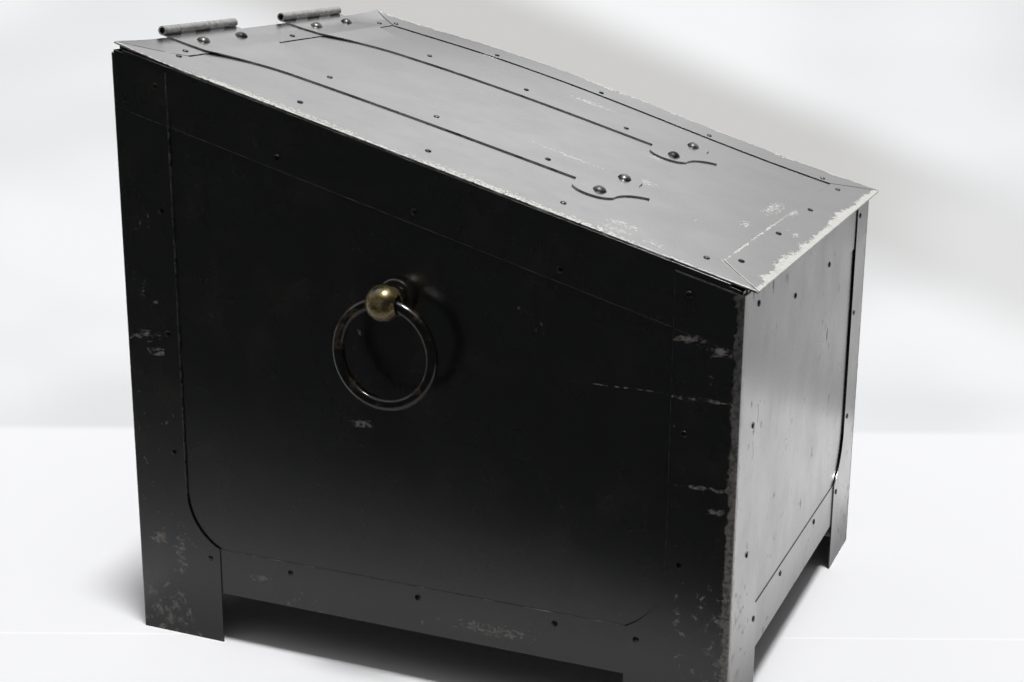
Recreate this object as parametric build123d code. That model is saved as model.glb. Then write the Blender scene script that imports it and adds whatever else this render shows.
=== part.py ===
from build123d import *
import os
from math import atan2, cos, degrees, sin, sqrt

# A slant-topped chest in riveted, black-enamelled sheet iron: four L-shaped corner posts that run down
# into legs, rails and panels riveted behind them, a flat lid with mitred binding strips on two strap
# hinges, and a ring handle hung in a ball on each side.
# Millimetres.  +Z up, the front (low side) faces -Y, the origin is on the floor under the middle.

os.makedirs("parts", exist_ok=True)

# ---------------------------------------------------------------- driving dimensions
body_width = 376.0            # over the corner posts, left to right
body_depth = 440.0            # over the corner posts, front to back
front_height = 294.0          # floor to the post tops, at the front face
back_height = 417.0           # floor to the post tops, at the back face

# sheet thicknesses
post_sheet = 0.9
rail_sheet = 0.6
panel_sheet = 0.7
floor_sheet = 0.9
lid_sheet = 0.8
binding_sheet = 0.7
strap_sheet = 1.0

# corner posts
post_flange = 43.0            # width of each flange above the gusset
leg_flange = 68.5             # width of each flange at the leg
gusset_rise = 40.0            # height over which the flange widens into the leg
post_bend = 1.7               # outside radius of the bent corner

# rails, panels and floor
leg_height = 37.7             # floor to the underside of the bottom rails
bottom_rail_depth = 33.6
top_rail_depth = 35.7         # below the line of the post tops
rail_rise = 4.0               # the rails stand this far above the post tops and carry the lid
rail_setback = 9.0            # a rail ends this far from the corner, under the post
panel_top = 2.0               # the panels stand this far above the post tops
panel_foot = 2.0              # the panels end this far above the foot of the bottom rails
floor_lift = 4.0              # underside of the floor above the foot of the bottom rails
floor_flange = 18.0           # height of the floor's turned-up edges

# lid
lid_side_inset = 1.5          # the lid's side edges lie this far inside the posts' faces
lid_front_overhang = 6.2      # past the front posts, along the slope
lid_back_gap = 0.5            # between the lid's back edge and the fixed hinge leaves
binding_width = 35.0
front_binding_width = 32.8
mitre_gap = 0.9

# strap hinges
hinge_inset = 107.0           # lid's side edge to the middle of the hinge
hinge_width = 92.0
hinge_knuckles = 5
knuckle_gap = 0.3
pin_diameter = 4.2
pin_clearance = 0.1           # on the radius
pin_recess = 0.5              # the pin's ends lie this far inside the barrel
roll_gap = 0.4                # left open where the rolled edge comes back to its leaf
strap_shoulder = 38.0         # hinge pin to where the wide leaf starts to narrow
strap_shoulder_run = 64.0
strap_neck_width = 49.0
strap_toe_width = 31.0        # where the strap meets the lobe
strap_joggle = 26.0           # run over which the strap slopes down off the binding
lobe_start = 313.0            # hinge pin to the step at the lobe
lobe_shoulder_width = 67.0
lobe_width = 81.0
lobe_step_slant = 4.0         # the step leans towards the tip by this much
lobe_length = 48.0            # step to tip
lobe_point_width = 58.0       # where the lobe turns in to its point
lobe_point_start = 32.5       # step to that turn
lobe_point_waist = 21.0       # width of the hollow-sided point, a little further on
lobe_point_waist_run = 4.5
leaf_drop = 38.0              # hinge pin to the lower edge of the fixed leaf
leaf_clearance = 1.7          # fixed leaf to the barrel above it, between its own knuckles
window_gap = 0.4              # strap to the fixed leaf, where the fixed leaf's knuckles come through it

# rivets
small_head = 4.2
small_head_face = 3.0         # the flat of the head
small_head_height = 0.7
large_head = 9.6
large_head_height = 3.0
large_shank = 5.0
large_tail = 8.0
large_tail_height = 1.2
rivet_clearance = 0.1         # on the radius
post_rivet_margin = 9.0       # rivet row to the inner edge of a post
leg_rivet_margin = 8.0        # rivet to the inner edge of a leg
post_rivet_pitch = 86.0
front_post_first_rivet = 119.0
back_post_first_rivet = 140.0
top_rivet_margin = 11.5       # highest post rivet below the post top
rail_rivet_margin = 7.8       # rivet row to a side rail's edge
end_rail_rivet_margin = 6.0   # the same on the front and back rails
side_rail_rivet_pitch = 99.0
side_rail_rivet_shift = 4.5   # the row sits this far forward of the middle
end_rail_rivet_pitch = 104.5
binding_rivet_margin = 27.0   # rivet row to the outer edge of a binding
front_binding_rivet_margin = 24.2
binding_front_end = 41.2      # first rivet of a side binding to the lid's front edge
binding_back_end = 34.0       # last one to its back edge
side_binding_rivets = 5
front_binding_rivet_pitch = 93.0
hinge_to_binding_rivet = 16.5 # a hinge's outer edge to the next rivet of the back binding
strap_rivet_pitch = 86.6
strap_first_rivet = 112.0     # hinge pin to the first small rivet
large_rivet_spacing = 49.0
hinge_rivet_inset = 16.0      # large rivets to the lid's back edge
lobe_rivet_inset = 20.5       # large rivets to the step at the lobe
leaf_rivet_drop = 27.0        # hinge pin to the large rivets of the fixed leaf

# ring handles
handle_y = 7.5                # behind the middle
handle_z = 270.8
ball_diameter = 24.0
ball_standoff = 20.0          # middle of the ball to the panel
collar_diameter = 24.5
collar_thickness = 5.5
collar_edge = 1.2
neck_diameter = 15.0
shank_diameter = 8.0
shank_clearance = 0.15
washer_diameter = 20.0
washer_thickness = 1.5
peen_diameter = 12.0
peen_height = 2.2
ring_outer_diameter = 75.0
ring_wire = 8.0
ring_clearance = 0.5          # wire to the hole through the ball

# ---------------------------------------------------------------- values worked out from them
half_width = body_width / 2
half_depth = body_depth / 2
lid_width = body_width - 2 * lid_side_inset
hinge_offset = lid_width / 2 - hinge_inset
slope = atan2(back_height - front_height, body_depth)
sine, cosine = sin(slope), cos(slope)
rail_face = post_sheet
panel_face = post_sheet + rail_sheet
panel_back = panel_face + panel_sheet
bottom_rail_top = leg_height + bottom_rail_depth
floor_z = leg_height + floor_lift
tall = back_height + 2 * top_rail_depth   # taller than anything before the slanted cut

lid_bottom = rail_rise
lid_top = lid_bottom + lid_sheet
binding_top = lid_top + binding_sheet
lid_front = -lid_front_overhang
lid_back = (body_depth - rail_face - lid_back_gap + lid_bottom * sine) / cosine

pin_radius = pin_diameter / 2
knuckle_bore = pin_radius + pin_clearance
knuckle_radius = knuckle_bore + strap_sheet
axis_h = binding_top + knuckle_radius
axis_y = half_depth - rail_face + knuckle_radius
axis_s = (axis_y + half_depth + axis_h * sine) / cosine
axis_z = front_height + axis_s * sine + axis_h * cosine

ball_x = half_width - panel_face + ball_standoff

# The lid's front edge reaches further forward than the hinge barrels reach back.
front_reach = half_depth - lid_front * cosine + binding_top * sine
back_reach = axis_y + knuckle_radius
ring_radius = (ring_outer_diameter - ring_wire) / 2

# The lid's own frame: x across, y up the slope from the front posts' top edge, z off the slope.
top = Plane(origin=(0, -half_depth, front_height), x_dir=(1, 0, 0), z_dir=(0, -sine, cosine))

# Each wall's frame: looking at the wall from outside, x to the right and y up, z outwards.
WALLS = {
    "left": ((-1, 0, 0), (0, -1, 0), half_width),
    "right": ((1, 0, 0), (0, 1, 0), half_width),
    "front": ((0, -1, 0), (1, 0, 0), half_depth),
    "back": ((0, 1, 0), (-1, 0, 0), half_depth),
}
HALF_SPAN = {"left": half_depth, "right": half_depth, "front": half_width, "back": half_width}


def wall(side, depth):
    """The plane of a wall, a given depth in from the faces of the posts."""
    outward, across, reach = WALLS[side]
    return Plane(origin=Vector(*outward) * (reach - depth), x_dir=across, z_dir=outward)


def band(low, high):
    """Everything between two heights off the slope of the post tops."""
    size = 3 * body_depth
    return top * Pos(0, half_depth, (low + high) / 2) * Box(size, size, high - low)


def below(height):
    return band(height - 2 * tall, height)


def save(name, shape):
    """Writes a part, moved from the posts' middle to the middle of the whole part's outline."""
    centred = Pos(0, (front_reach - back_reach) / 2, 0) * shape
    export_step(centred, f"parts/{name}.step")


def strip(side, depth, thickness, half_length, low, high):
    """A flat upright strip of sheet on one wall, centred on it."""
    face = Pos(0, (low + high) / 2) * Rectangle(2 * half_length, high - low)
    return wall(side, depth) * extrude(face, -thickness)


def rivet_head(diameter, height):
    """A low dome that stands on the XY plane."""
    edge = diameter / 2
    radius = (edge**2 + height**2) / (2 * height)
    return Pos(0, 0, height - radius) * Sphere(radius) & Pos(0, 0, height) * Cylinder(edge, 2 * height)


def small_rivet():
    """The flat, slightly tapered head of a tinner's rivet, seated on the XY plane."""
    head = Cone(small_head / 2, small_head_face / 2, small_head_height)
    return Pos(0, 0, small_head_height / 2) * head


def large_rivet(grip):
    """Domed head on the XY plane, a shank down through the grip, and a flattened tail."""
    shank = Pos(0, 0, -grip / 2) * Cylinder(large_shank / 2, grip)
    tail = Pos(0, 0, -grip - large_tail_height / 2) * Cylinder(large_tail / 2, large_tail_height)
    return rivet_head(large_head, large_head_height) + shank + tail


def large_rivet_hole():
    return Cylinder(large_shank / 2 + rivet_clearance, 4 * strap_sheet + 4 * lid_sheet + 4 * rail_sheet)


def group(places, shape):
    """One node of several separate solids."""
    return Compound([place * shape for place in places])


# ---------------------------------------------------------------- handle bosses, their washers and rings
def handle_axis(shape):
    """Puts a shape turned about Z, with Z = 0 on the panel's outer face, on the left wall."""
    return wall("left", panel_face) * Pos(-handle_y, handle_z, 0) * shape


def ring_hole():
    """The flared hole for the ring: its wall follows the ring's own curve as the ring swings round."""
    reach = ball_diameter / 2
    throat = ring_wire / 2 + ring_clearance
    mouth = throat + ring_radius - sqrt(ring_radius**2 - reach**2)
    curve = ThreePointArc((mouth, -reach), (throat, 0), (mouth, reach))
    outline = curve + Polyline((mouth, reach), (0, reach), (0, -reach), (mouth, -reach))
    return revolve(make_face(outline), Axis.Y)


def handle_boss():
    ball = Pos(0, 0, ball_standoff) * Sphere(ball_diameter / 2)
    collar = Pos(0, 0, collar_thickness / 2) * Cylinder(collar_diameter / 2, collar_thickness)
    collar = chamfer(collar.edges().group_by(Axis.Z)[-1], collar_edge)
    neck = Pos(0, 0, ball_standoff / 2) * Cylinder(neck_diameter / 2, ball_standoff)
    grip = panel_sheet + washer_thickness
    shank = Pos(0, 0, -grip / 2) * Cylinder(shank_diameter / 2, grip)
    peen = Pos(0, 0, -grip) * Rot(180, 0, 0) * rivet_head(peen_diameter, peen_height)
    hole = Pos(0, 0, ball_standoff) * Rot(0, 0, 90) * ring_hole()
    return ball + collar + neck + shank + peen - hole


def handle_washer():
    hole = Circle(shank_diameter / 2 + shank_clearance)
    disc = Circle(washer_diameter / 2) - hole
    return Pos(0, 0, -panel_sheet) * extrude(disc, -washer_thickness)


left_boss = handle_axis(handle_boss())
left_washer = handle_axis(handle_washer())
panel_hole = handle_axis(Cylinder(shank_diameter / 2 + shank_clearance, 4 * panel_sheet))
left_ring = Pos(-ball_x, handle_y, handle_z - ring_radius) * Rot(0, 90, 0) * Torus(ring_radius, ring_wire / 2)
for name, shape in (("boss", left_boss), ("washer", left_washer), ("ring", left_ring)):
    save(f"left_handle_{name}", shape)
    save(f"right_handle_{name}", mirror(shape, about=Plane.YZ))

# ---------------------------------------------------------------- walls: panels and rails
side_panel_half = half_depth - panel_back
for side in ("left", "right"):
    panel = strip(side, panel_face, panel_sheet, side_panel_half, leg_height + panel_foot, tall)
    hole = panel_hole if side == "left" else mirror(panel_hole, about=Plane.YZ)
    save(f"{side}_panel", panel & below(panel_top) - hole)
    upper = strip(side, rail_face, rail_sheet, half_depth - rail_setback, 0, tall)
    save(f"{side}_top_rail", upper & band(-top_rail_depth * cosine, rail_rise))

end_panel_half = half_width - panel_face
for side, height in (("front", front_height), ("back", back_height)):
    panel = strip(side, panel_face, panel_sheet, end_panel_half, leg_height + panel_foot, tall)
    upper = strip(side, rail_face, rail_sheet, half_width - rail_setback, height - top_rail_depth, tall)
    panel = panel & below(panel_top)
    upper = upper & below(rail_rise)
    if side == "back":
        leaf_holes = [
            wall(side, rail_face) * Pos(offset + spread, axis_z - leaf_rivet_drop) * large_rivet_hole()
            for offset in (-hinge_offset, hinge_offset)
            for spread in (-large_rivet_spacing / 2, large_rivet_spacing / 2)
        ]
        panel = panel - leaf_holes
        upper = upper - leaf_holes
    save(f"{side}_panel", panel)
    save(f"{side}_top_rail", upper)

for side in WALLS:
    length = HALF_SPAN[side] - rail_setback
    save(f"{side}_bottom_rail", strip(side, rail_face, rail_sheet, length, leg_height, bottom_rail_top))

# ---------------------------------------------------------------- floor
floor_width = body_width - 2 * panel_back
floor_depth = body_depth - 2 * panel_back
tray = Box(floor_width, floor_depth, floor_flange)
hollow_width = floor_width - 2 * floor_sheet
hollow_depth = floor_depth - 2 * floor_sheet
hollow = Pos(0, 0, floor_sheet) * Box(hollow_width, hollow_depth, floor_flange)
save("floor_pan", Pos(0, 0, floor_z + floor_flange / 2) * (tray - hollow))


# ---------------------------------------------------------------- corner posts
def flange_relief():
    """What is cut from a flange beside and above the leg: x runs in from the corner, y is height."""
    curve_top = bottom_rail_top + gusset_rise
    widening = leg_flange - post_flange
    radius = (widening**2 + gusset_rise**2) / (2 * widening)
    gusset = RadiusArc((leg_flange, bottom_rail_top), (post_flange, curve_top), radius)
    rest = Polyline(
        (post_flange, curve_top),
        (post_flange, tall),
        (2 * leg_flange, tall),
        (2 * leg_flange, bottom_rail_top),
        (leg_flange, bottom_rail_top),
    )
    return make_face(gusset + rest)


def corner_post():
    """The front left post, bent from one sheet, before it is put at its own corner."""
    outer = fillet(Box(2 * leg_flange, 2 * leg_flange, 2 * tall).edges().filter_by(Axis.Z), post_bend)
    inner_size = 2 * (leg_flange - post_sheet)
    inner = Box(inner_size, inner_size, 2 * tall)
    inner = fillet(inner.edges().filter_by(Axis.Z), post_bend - post_sheet)
    quarter = Pos(-leg_flange / 2, -leg_flange / 2, tall / 2) * Box(leg_flange, leg_flange, tall)
    corner = Pos(leg_flange, leg_flange, 0) * ((outer - inner) & quarter)
    side_cut = Plane.YZ * extrude(flange_relief(), leg_flange, both=True)
    front_cut = Plane.XZ * extrude(flange_relief(), leg_flange, both=True)
    return corner - side_cut - front_cut


post = corner_post()
at_front = Pos(-half_width, -half_depth, 0) * post
at_back = mirror(Pos(-half_width, -half_depth, 0) * post, about=Plane.XZ)
for end, shape in (("front", at_front), ("back", at_back)):
    shape = shape & below(0)
    save(f"{end}_left_post", shape)
    save(f"{end}_right_post", mirror(shape, about=Plane.YZ))

# ---------------------------------------------------------------- rivets of the box

def side_top(distance):
    """Height of the post tops on a side wall, a distance back from the front face."""
    return front_height + distance * (back_height - front_height) / body_depth


def post_rivet_places():
    """Both flanges of every post: the leg, the rows above it, and one under the top."""
    column = post_flange - post_rivet_margin
    leg = leg_flange - leg_rivet_margin
    places = []
    for end, first in (("front", front_post_first_rivet), ("back", back_post_first_rivet)):
        height = front_height if end == "front" else back_height
        side_height = side_top(column if end == "front" else body_depth - column)
        rows = [first + post_rivet_pitch * i for i in range(4)]
        for side, reach, finish in (("side", half_depth, side_height), ("end", half_width, height)):
            spots = [(leg, bottom_rail_top - rail_rivet_margin), (column, finish - top_rivet_margin)]
            spots += [(column, z) for z in rows if z < height - 2 * top_rivet_margin]
            for inset, z in spots:
                for hand in (-1, 1):
                    if side == "end":
                        places.append(wall(end, 0) * Pos(hand * (reach - inset), z))
                    else:
                        name = "left" if hand < 0 else "right"
                        towards = reach - inset if (end == "front") == (name == "left") else inset - reach
                        places.append(wall(name, 0) * Pos(towards, z))
    return places


def rail_rivet_places():
    """A row along each rail, beside the edge that faces the panel."""
    lower = bottom_rail_top - rail_rivet_margin
    end_lower = bottom_rail_top - end_rail_rivet_margin
    places = []
    for hand, side in ((1, "left"), (-1, "right")):
        for i in (-1, 0, 1):
            across = side_rail_rivet_shift + i * side_rail_rivet_pitch
            upper = side_top(half_depth - across) - top_rail_depth + rail_rivet_margin / cosine
            places += [wall(side, rail_face) * Pos(hand * across, z) for z in (lower, upper)]
    for side, height in (("front", front_height), ("back", back_height)):
        for across in (-end_rail_rivet_pitch / 2, end_rail_rivet_pitch / 2):
            end_upper = height - top_rail_depth + end_rail_rivet_margin
            rows = (end_lower, end_upper) if side == "front" else (end_lower,)
            places += [wall(side, rail_face) * Pos(across, z) for z in rows]
    return places


save("post_rivets", group(post_rivet_places(), small_rivet()))
save("rail_rivets", group(rail_rivet_places(), small_rivet()))

# ---------------------------------------------------------------- lid: sheet and mitred bindings
lid_length = lid_back - lid_front
lid_middle = (lid_back + lid_front) / 2
half_spacing = large_rivet_spacing / 2
lobe_step = axis_s - lobe_start
large_places = [
    (offset + spread, s)
    for offset in (-hinge_offset, hinge_offset)
    for spread in (-half_spacing, half_spacing)
    for s in (lid_back - hinge_rivet_inset, lobe_step - lobe_rivet_inset)
]
large_holes = [top * Pos(x, s, lid_top) * large_rivet_hole() for x, s in large_places]

sheet = Pos(0, lid_middle, lid_bottom) * extrude(Rectangle(lid_width, lid_length), lid_sheet)
save("lid_sheet", top * sheet - large_holes)

front_inner = lid_front + front_binding_width
back_inner = lid_back - binding_width
outer = Rectangle(lid_width, lid_length)
inner = Rectangle(lid_width - 2 * binding_width, back_inner - front_inner)
frame = outer - Pos(0, (front_inner + back_inner) / 2 - lid_middle) * inner
for across in (-1, 1):
    for edge, inner_edge in ((lid_front, front_inner), (lid_back, back_inner)):
        turn = degrees(atan2(inner_edge - edge, -across * binding_width))
        middle = Pos(across * (lid_width - binding_width) / 2, (edge + inner_edge) / 2 - lid_middle)
        frame -= middle * Rot(0, 0, turn) * Rectangle(2 * binding_width, mitre_gap)
frame = top * Pos(0, lid_middle, lid_top) * extrude(frame, binding_sheet) - large_holes
bindings = frame.solids()
save("lid_left_binding", bindings.sort_by(Axis.X)[0])
save("lid_right_binding", bindings.sort_by(Axis.X)[-1])
save("lid_front_binding", bindings.sort_by(Axis.Y)[0])
save("lid_back_binding", bindings.sort_by(Axis.Y)[-1])

rivet_row = lid_width / 2 - binding_rivet_margin
pitch = (lid_length - binding_front_end - binding_back_end) / (side_binding_rivets - 1)
lid_rivets = [(hand * rivet_row, lid_front + binding_front_end + i * pitch)
              for hand in (-1, 1) for i in range(side_binding_rivets)]
front_row = lid_front + front_binding_rivet_margin
lid_rivets += [(front_binding_rivet_pitch * i, front_row) for i in (-1.5, -0.5, 0.5, 1.5)]
outside_hinges = hinge_offset + hinge_width / 2 + hinge_to_binding_rivet
lid_rivets += [(x, lid_back - binding_rivet_margin) for x in (-outside_hinges, 0, outside_hinges)]
save("lid_binding_rivets", group([top * Pos(x, s, binding_top) for x, s in lid_rivets], small_rivet()))


# ---------------------------------------------------------------- strap hinges
def rolled_edge(leaf_length):
    """Section of a leaf whose end is rolled into a barrel about the origin; the leaf runs to -x."""
    barrel = Circle(knuckle_radius)
    leaf = Pos(-leaf_length / 2, strap_sheet / 2 - knuckle_radius) * Rectangle(leaf_length, strap_sheet)
    opening = Pos(-knuckle_radius, strap_sheet + roll_gap / 2 - knuckle_radius)
    slit = opening * Rectangle(2 * (knuckle_radius - pin_clearance), roll_gap)
    return barrel + leaf - Circle(knuckle_bore) - slit


def knuckle_windows(first, depth, reach):
    """Blocks that cut a leaf's rolled edge away where the other leaf's knuckles go."""
    pitch = hinge_width / hinge_knuckles
    width = pitch + knuckle_gap
    left = -(hinge_width - pitch) / 2
    size = (width, depth, reach)
    return [Pos(left + i * pitch, 0, 0) * Box(*size) for i in range(first, hinge_knuckles, 2)]


def strap_outline():
    """Plan of the strap, x across and y measured back from the hinge pin's line."""
    leaf = hinge_width / 2
    neck = strap_neck_width / 2
    toe = strap_toe_width / 2
    shoulder_end = -strap_shoulder - strap_shoulder_run
    narrowing = leaf - neck
    shoulder_radius = (narrowing**2 + strap_shoulder_run**2) / (2 * narrowing)
    step = -lobe_start
    tip = step - lobe_length
    widest = step - lobe_rivet_inset
    slant = step - lobe_step_slant
    turn_in = step - lobe_point_start
    waist = turn_in - lobe_point_waist_run
    shoulder = lobe_shoulder_width / 2
    point = lobe_point_width / 2
    half = Polyline((0, knuckle_radius), (leaf, knuckle_radius), (leaf, -strap_shoulder))
    half += RadiusArc((leaf, -strap_shoulder), (neck, shoulder_end), -shoulder_radius)
    half += Line((neck, shoulder_end), (toe, step))
    half += Line((toe, step), (shoulder, slant))
    half += ThreePointArc((shoulder, slant), (lobe_width / 2, widest), (point, turn_in))
    half += ThreePointArc((point, turn_in), (lobe_point_waist / 2, waist), (0, tip))
    half += Line((0, tip), (0, knuckle_radius))
    right = make_face(half)
    return right + mirror(right, about=Plane.YZ)


def hinge_strap(offset):
    """Lid leaf: rolled knuckles, a wide leaf on the back binding, and a long tapering strap on the sheet."""
    binding_edge = axis_s - (lid_back - binding_width)
    rolled = rolled_edge(binding_edge)
    low = -knuckle_radius - binding_sheet
    high = -knuckle_radius
    joggle_end = -binding_edge - strap_joggle
    far = -lobe_start - lobe_length
    flat = Polyline(
        (-binding_edge, high), (joggle_end, low), (far, low), (far, low + strap_sheet),
        (joggle_end, low + strap_sheet), (-binding_edge, high + strap_sheet), (-binding_edge, high),
    )
    section = rolled + make_face(flat)
    slab = extrude(Plane.YZ * section, hinge_width / 2, both=True)
    plan = Pos(0, 0, -4 * knuckle_radius) * extrude(strap_outline(), 8 * knuckle_radius)
    window_depth = 2 * (knuckle_radius * (1 + sine) + window_gap) / cosine
    strap = (slab & plan) - knuckle_windows(1, window_depth, 8 * knuckle_radius)
    return top * Pos(offset, axis_s, axis_h) * strap - large_holes


def hinge_leaf(offset):
    """Fixed leaf: up the outside of the back rail and rolled over the pin between the lid's knuckles."""
    section = rolled_edge(leaf_drop)
    on_axis = Plane(origin=(offset, axis_y, axis_z), x_dir=(0, 0, 1), z_dir=(-1, 0, 0))
    slab = on_axis * extrude(section, hinge_width / 2, both=True)
    window_depth = 8 * knuckle_radius
    window_reach = 2 * (knuckle_radius + leaf_clearance)
    windows = knuckle_windows(0, window_depth, window_reach)
    windows = [Pos(offset, axis_y, axis_z) * block for block in windows]
    holes = [
        wall("back", rail_face) * Pos(-offset + spread, axis_z - leaf_rivet_drop) * large_rivet_hole()
        for spread in (-half_spacing, half_spacing)
    ]
    return slab - windows - holes


pin_length = hinge_width - 2 * pin_recess
for side, offset in (("left", -hinge_offset), ("right", hinge_offset)):
    save(f"{side}_hinge_strap", hinge_strap(offset))
    save(f"{side}_hinge_leaf", hinge_leaf(offset))
    save(f"{side}_hinge_pin", Pos(offset, axis_y, axis_z) * Rot(0, 90, 0) * Cylinder(pin_radius, pin_length))

back_grip = strap_sheet + binding_sheet + lid_sheet
front_grip = strap_sheet + lid_sheet
strap_bolts = []
for x, s in large_places:
    on_binding = s > lid_back - binding_width
    seat = binding_top + strap_sheet if on_binding else lid_top + strap_sheet
    grip = back_grip if on_binding else front_grip
    strap_bolts.append(top * Pos(x, s, seat) * large_rivet(grip))
save("strap_large_rivets", Compound(strap_bolts))

strap_seat = lid_top + strap_sheet
strap_spots = [(offset, axis_s - strap_first_rivet - i * strap_rivet_pitch)
               for offset in (-hinge_offset, hinge_offset) for i in range(3)]
save("strap_small_rivets", group([top * Pos(x, s, strap_seat) for x, s in strap_spots], small_rivet()))

leaf_grip = strap_sheet + rail_sheet + panel_sheet
leaf_seat = wall("back", rail_face - strap_sheet)
leaf_spots = [
    leaf_seat * Pos(offset + spread, axis_z - leaf_rivet_drop)
    for offset in (-hinge_offset, hinge_offset)
    for spread in (-half_spacing, half_spacing)
]
save("hinge_leaf_rivets", group(leaf_spots, large_rivet(leaf_grip)))
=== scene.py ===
# %% [markdown]
# # A black deed box
# This lesson dresses a slant-topped box of riveted sheet iron in its real finishes: black stove
# enamel over iron, worn brass bosses and black-lacquered rings. The CAD part comes first, as a
# frame whose pieces stay where they are. Everything is in metres and in the frame of that part.
# %% Load the frame
from math import atan2, cos, hypot, pi, radians, sin

import bmesh
import bpy
from mathutils import Euler, Matrix, Vector


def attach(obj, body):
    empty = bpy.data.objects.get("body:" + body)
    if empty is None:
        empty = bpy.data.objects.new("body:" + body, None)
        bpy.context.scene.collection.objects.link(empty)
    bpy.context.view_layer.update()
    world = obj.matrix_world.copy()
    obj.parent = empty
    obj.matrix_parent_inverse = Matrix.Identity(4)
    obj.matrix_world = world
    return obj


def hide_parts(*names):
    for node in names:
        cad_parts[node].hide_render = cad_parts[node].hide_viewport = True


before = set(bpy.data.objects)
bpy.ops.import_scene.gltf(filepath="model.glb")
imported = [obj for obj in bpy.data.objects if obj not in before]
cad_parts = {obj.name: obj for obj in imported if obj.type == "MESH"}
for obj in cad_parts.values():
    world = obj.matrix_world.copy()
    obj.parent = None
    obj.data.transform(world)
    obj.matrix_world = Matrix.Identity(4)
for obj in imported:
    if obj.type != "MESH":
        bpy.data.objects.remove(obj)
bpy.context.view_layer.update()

# %% [markdown]
# The finishes need to know where the box's corners and edges are, since wear starts there. These
# are the sizes of the real box in millimetres, named once, with one factor to turn them to metres.
# %% Sizes of the box
MM = 0.001
HALF_WIDTH = 188.0            # over the corner posts
FRONT = -219.024              # the front posts' faces, in y
BACK = 220.976                # the back posts' faces
FRONT_TOP = 294.0             # height of the front posts
BACK_TOP = 417.0
HALF_DEPTH = (BACK - FRONT) / 2
MID_DEPTH = (FRONT + BACK) / 2
SLOPE = atan2(BACK_TOP - FRONT_TOP, BACK - FRONT)
LID_ORIGIN = Vector((0, FRONT * MM, FRONT_TOP * MM))
LID_ALONG = Vector((0, cos(SLOPE), sin(SLOPE)))
LID_UP = Vector((0, -sin(SLOPE), cos(SLOPE)))
LID_HALF_WIDTH = 186.5
LID_FRONT = -6.2              # along the slope from the front posts' top edge
LID_BACK = 456.5
BINDING = 35.0                # width of the bindings at the lid's sides
FRONT_BINDING = 32.8
HINGE_ALONG = 461.69          # the hinges' axis, up the slope and off it
HINGE_OFF = 8.7
print("slope of the lid:", round(SLOPE * 180 / pi, 2), "degrees")

# %% [markdown]
# The camera stands a little above the box and looks down at its left front corner. A camera looks
# along its own -Z, so it is first tipped up from straight down and then turned about the upright.
# %% Camera
camera_data = bpy.data.cameras.new("camera")
camera = bpy.data.objects.new("camera", camera_data)
bpy.context.scene.collection.objects.link(camera)
camera_data.sensor_width = 36.0
camera_data.lens = 55.55
VIEWPOINT = (-1.06366, -0.44470, 0.51300)
tip = Matrix.Rotation(radians(90 - 15.417), 4, "X")
turn = Matrix.Rotation(radians(-66.922), 4, "Z")
lean = Matrix.Rotation(radians(0.389), 4, "Z")
camera.matrix_world = Matrix.Translation(VIEWPOINT) @ turn @ tip @ lean
bpy.context.scene.camera = camera
bpy.context.scene.view_settings.view_transform = "Standard"
print("camera at", tuple(round(v, 3) for v in camera.matrix_world.translation))

# %% [markdown]
# Colours are written as sRGB hex, the way a colour picker shows them, but a shader works in linear
# light. One function turns the first into the second. Another adds a node with its settings and
# its links, so that a material reads as a list of nodes from top to bottom.
# %% Colour and node helpers
def linear(hex_colour):
    """The linear RGBA of an sRGB hex colour such as "1a2b3c"."""
    parts = [int(hex_colour[i:i + 2], 16) / 255 for i in (0, 2, 4)]
    return [c / 12.92 if c <= 0.04045 else ((c + 0.055) / 1.055) ** 2.4 for c in parts] + [1.0]


# a Math, Map Range or Mix node works as its menu says, so its choice is written behind its kind
MENUS = {"Math": "operation", "MapRange": "interpolation_type", "Mix": "data_type"}


def add(tree, kind, *values, out=0, **settings):
    """Adds a node and gives one of its outputs, or all of them for out=None.

    Inputs are set or linked in their order, or by number with a dict, or by name: a keyword with a
    capital is an input, and any other keyword is a setting. "Math.ADD" is a Math node set to Add.
    """
    kind, _, choice = kind.partition(".")
    node = tree.nodes.new("ShaderNode" + kind)
    if choice:
        setattr(node, MENUS[kind], choice)
    numbered = values and isinstance(values[0], dict)
    inputs = dict(values[0] if numbered else enumerate(values))
    for name, value in settings.items():
        if name[0].isupper():
            inputs[name.replace("_", " ")] = value
        else:
            setattr(node, name, value)
    for name, value in inputs.items():
        if isinstance(value, bpy.types.NodeSocket):
            tree.links.new(value, node.inputs[name])
        else:
            node.inputs[name].default_value = value
    return node.outputs if out is None else node.outputs[out]


def fresh_tree(owner):
    """An empty node tree for a material or the world."""
    owner.use_nodes = True
    owner.node_tree.nodes.clear()
    return owner.node_tree


print("linear mid grey:", round(linear("808080")[0], 3))

# %% [markdown]
# A chain of small sums is the commonest thing in a procedural material: distances to an edge,
# masks with a soft border, one mask on top of another. A mask is 1 where a thing shows and 0 where
# it doesn't. A smooth Map Range makes one from a distance: it is 0 at the first value and 1 at the
# second, which may be the smaller. A Mix node then lays one colour or number over another.
# %% Where, and how coarse
SOFT_STEP = "MapRange.SMOOTHSTEP"


def lumps(millimetres):
    """The scale at which the lumps of a noise are about the given size."""
    return 1 / (millimetres * MM)


def place_of(tree, location=(0, 0, 0), rotation=(0, 0, 0)):
    """Object coordinates through a Mapping node, which turns them and then moves them."""
    return add(tree, "Mapping", add(tree, "TexCoord", out="Object"), location, rotation)


print("scale of lumps of 10 mm:", lumps(10.0))

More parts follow.
